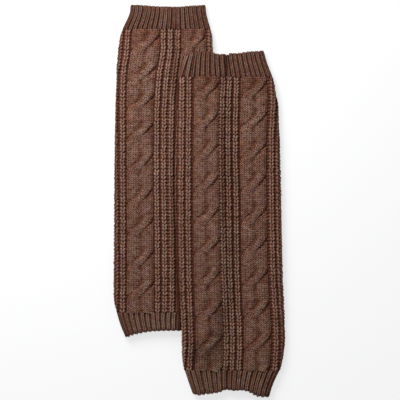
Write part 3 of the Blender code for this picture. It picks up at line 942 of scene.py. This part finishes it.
def cuff(leg, which):
    """The cloth and the ribs of a leg's top or bottom cuff."""
    at_top = which == "top"
    mouth = leg.top_mouth if at_top else leg.bottom_mouth
    seam = leg.top_seam + SEAM_GAP / 2 if at_top else leg.bottom_seam - SEAM_GAP / 2

    def ends(across):
        """y of the cuff's top and bottom at places across it."""
        edge, joined = read(mouth, "y", across, key="across"), seam + 0 * across
        return (edge, joined) if at_top else (joined, edge)

    cloth = knitted_tube(f"{leg.name}_{which}_cuff_cloth", leg, cuff_ground, ends,
                         rows=16, lining_rows=4, columns=150, materials=(cuff_ground_wool, plain_wool))
    height = abs(float(read(mouth, "y", 0.5, key="across")) - seam)
    rows = round(height / CUFF_ROW_HEIGHT)
    rolled = leg is RIGHT and at_top
    uneven = np.random.default_rng(len(leg.name + which))
    panels = []
    for rib in range(-1, CUFF_RIBS + 1):
        mesh = knit_panel({"Wales": 1, "Rows": rows, "Wale Width": 1.0, "Row Height": 1.0,
                           "Seed": RIB_SEED + rib, **RIB_STITCH}, cuff_wool[which])
        shift = uneven.uniform(-RIB_SHIFT, RIB_SHIFT)
        tone = uneven.uniform(1 - RIB_TONE, 1 + RIB_TONE)

        def place(px, py, pz):
            reach = CUFF_OVERHANG / height * np.maximum(0.0, 1 - (px / RIB_HALF_WIDTH) ** 2)
            share = np.clip(0.5 - py / (rows - 0.6), -reach, 1 + reach)  # part of a row past each end
            across = (rib + 0.5) / CUFF_RIBS
            top, bottom = ends(np.clip(across, 0.0, 1.0))
            y = top + (bottom - top) * share
            left, right = edges(leg, y)
            from_mouth = (share if at_top else 1 - share) * height
            rim = ease(1 - from_mouth / CUFF_RIM)
            beside = ease((np.abs(px) - GAP_START) / GAP_WIDTH)
            openness = openness_at(pz / RIB_STITCH_HEIGHT, RIB_GAP_LIGHT)
            openness = openness * (1 - GAP_SHADE[which] * beside) * (1 - RIM_SHADE * rim) * tone
            u = left + (right - left) * across + px + shift
            if rolled:
                u = u + ROLL_SHIFT * (0.5 - share) * bell(across, ROLL_SHARE)
                roll = (u - left) / ROLL_WIDTH
                openness = openness * (1 - ROLL_LIGHT + ROLL_LIGHT * ease(2 * roll)
                                       + ROLL_LIGHT * bell(roll - 1, 0.5))
            return u, y, RIB_LIFT + pz - rim, openness

        lay(mesh, place, leg)
        panels.append(mesh)
    ribs = join_pieces(f"{leg.name}_{which}_cuff_stitches", panels)
    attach(cloth, "root")
    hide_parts(f"{leg.name}_{which}_cuff")
    left, right = edges(leg, seam)
    float(right - left) * 2 * MM
    height * MM


for leg in (LEFT, RIGHT):
    for which in ("top", "bottom"):
        cuff(leg, which)


# ---- The floor, the light and the camera -------------------------------------------------------
# The pair lies on a plain near-white surface under soft light from the upper left, seen from straight
# above through a long lens.

FLOOR_SIZE = 4.0           # in metres, as all lengths are from here on
FLOOR_HEIGHT = -0.0003     # just under the cloth
BOARD_GREY = 0.14
BOARD_GLOW = 0.69          # keeps the board near white where the lamp's light is weak
SKY_LIGHT = 0.66
LAMP_PLACE = (-0.40, 0.66, 0.57)
LAMP_SIZE = 0.6
LAMP_POWER = 24.0

floor_mesh = bpy.data.meshes.new("floor")
half = FLOOR_SIZE / 2
corners = [(x, y, FLOOR_HEIGHT) for x, y in ((-half, -half), (half, -half), (half, half), (-half, half))]
floor_mesh.from_pydata(corners, [], [(0, 1, 2, 3)])
floor = new_object("floor", floor_mesh)
board = bpy.data.materials.new("near-white board")
board.use_nodes = True
Tree(board.node_tree).feed(board.node_tree.nodes["Principled BSDF"], {
    "Base Color": (BOARD_GREY, BOARD_GREY, BOARD_GREY, 1.0), "Roughness": 0.9,
    "Emission Color": (1.0, 1.0, 1.0, 1.0), "Emission Strength": BOARD_GLOW})
floor_mesh.materials.append(board)

studio = bpy.data.worlds.new("studio")
studio.use_nodes = True
Tree(studio.node_tree).feed(studio.node_tree.nodes["Background"], {
    "Color": (0.97, 0.98, 1.0, 1.0), "Strength": SKY_LIGHT})
bpy.context.scene.world = studio

lamp_data = bpy.data.lights.new("key", "AREA")
lamp_data.size = LAMP_SIZE
lamp_data.energy = LAMP_POWER
lamp = new_object("key", lamp_data)
lamp.location = LAMP_PLACE
lamp.rotation_euler = (-lamp.location).to_track_quat("-Z", "Y").to_euler()

VIEW_WIDTH = 0.480         # across the picture, at the middle of the pair's height
VIEW_MIDDLE = (0.0012, 0.0012)
MIDDLE_HEIGHT = 0.010
CAMERA_HEIGHT = 3.5
camera_data = bpy.data.cameras.new("camera")
camera_data.sensor_width = 36.0
camera_data.lens = camera_data.sensor_width * (CAMERA_HEIGHT - MIDDLE_HEIGHT) / VIEW_WIDTH
camera = new_object("camera", camera_data)
camera.location = (*VIEW_MIDDLE, CAMERA_HEIGHT)
bpy.context.scene.camera = camera
bpy.context.scene.view_settings.view_transform = "Standard"
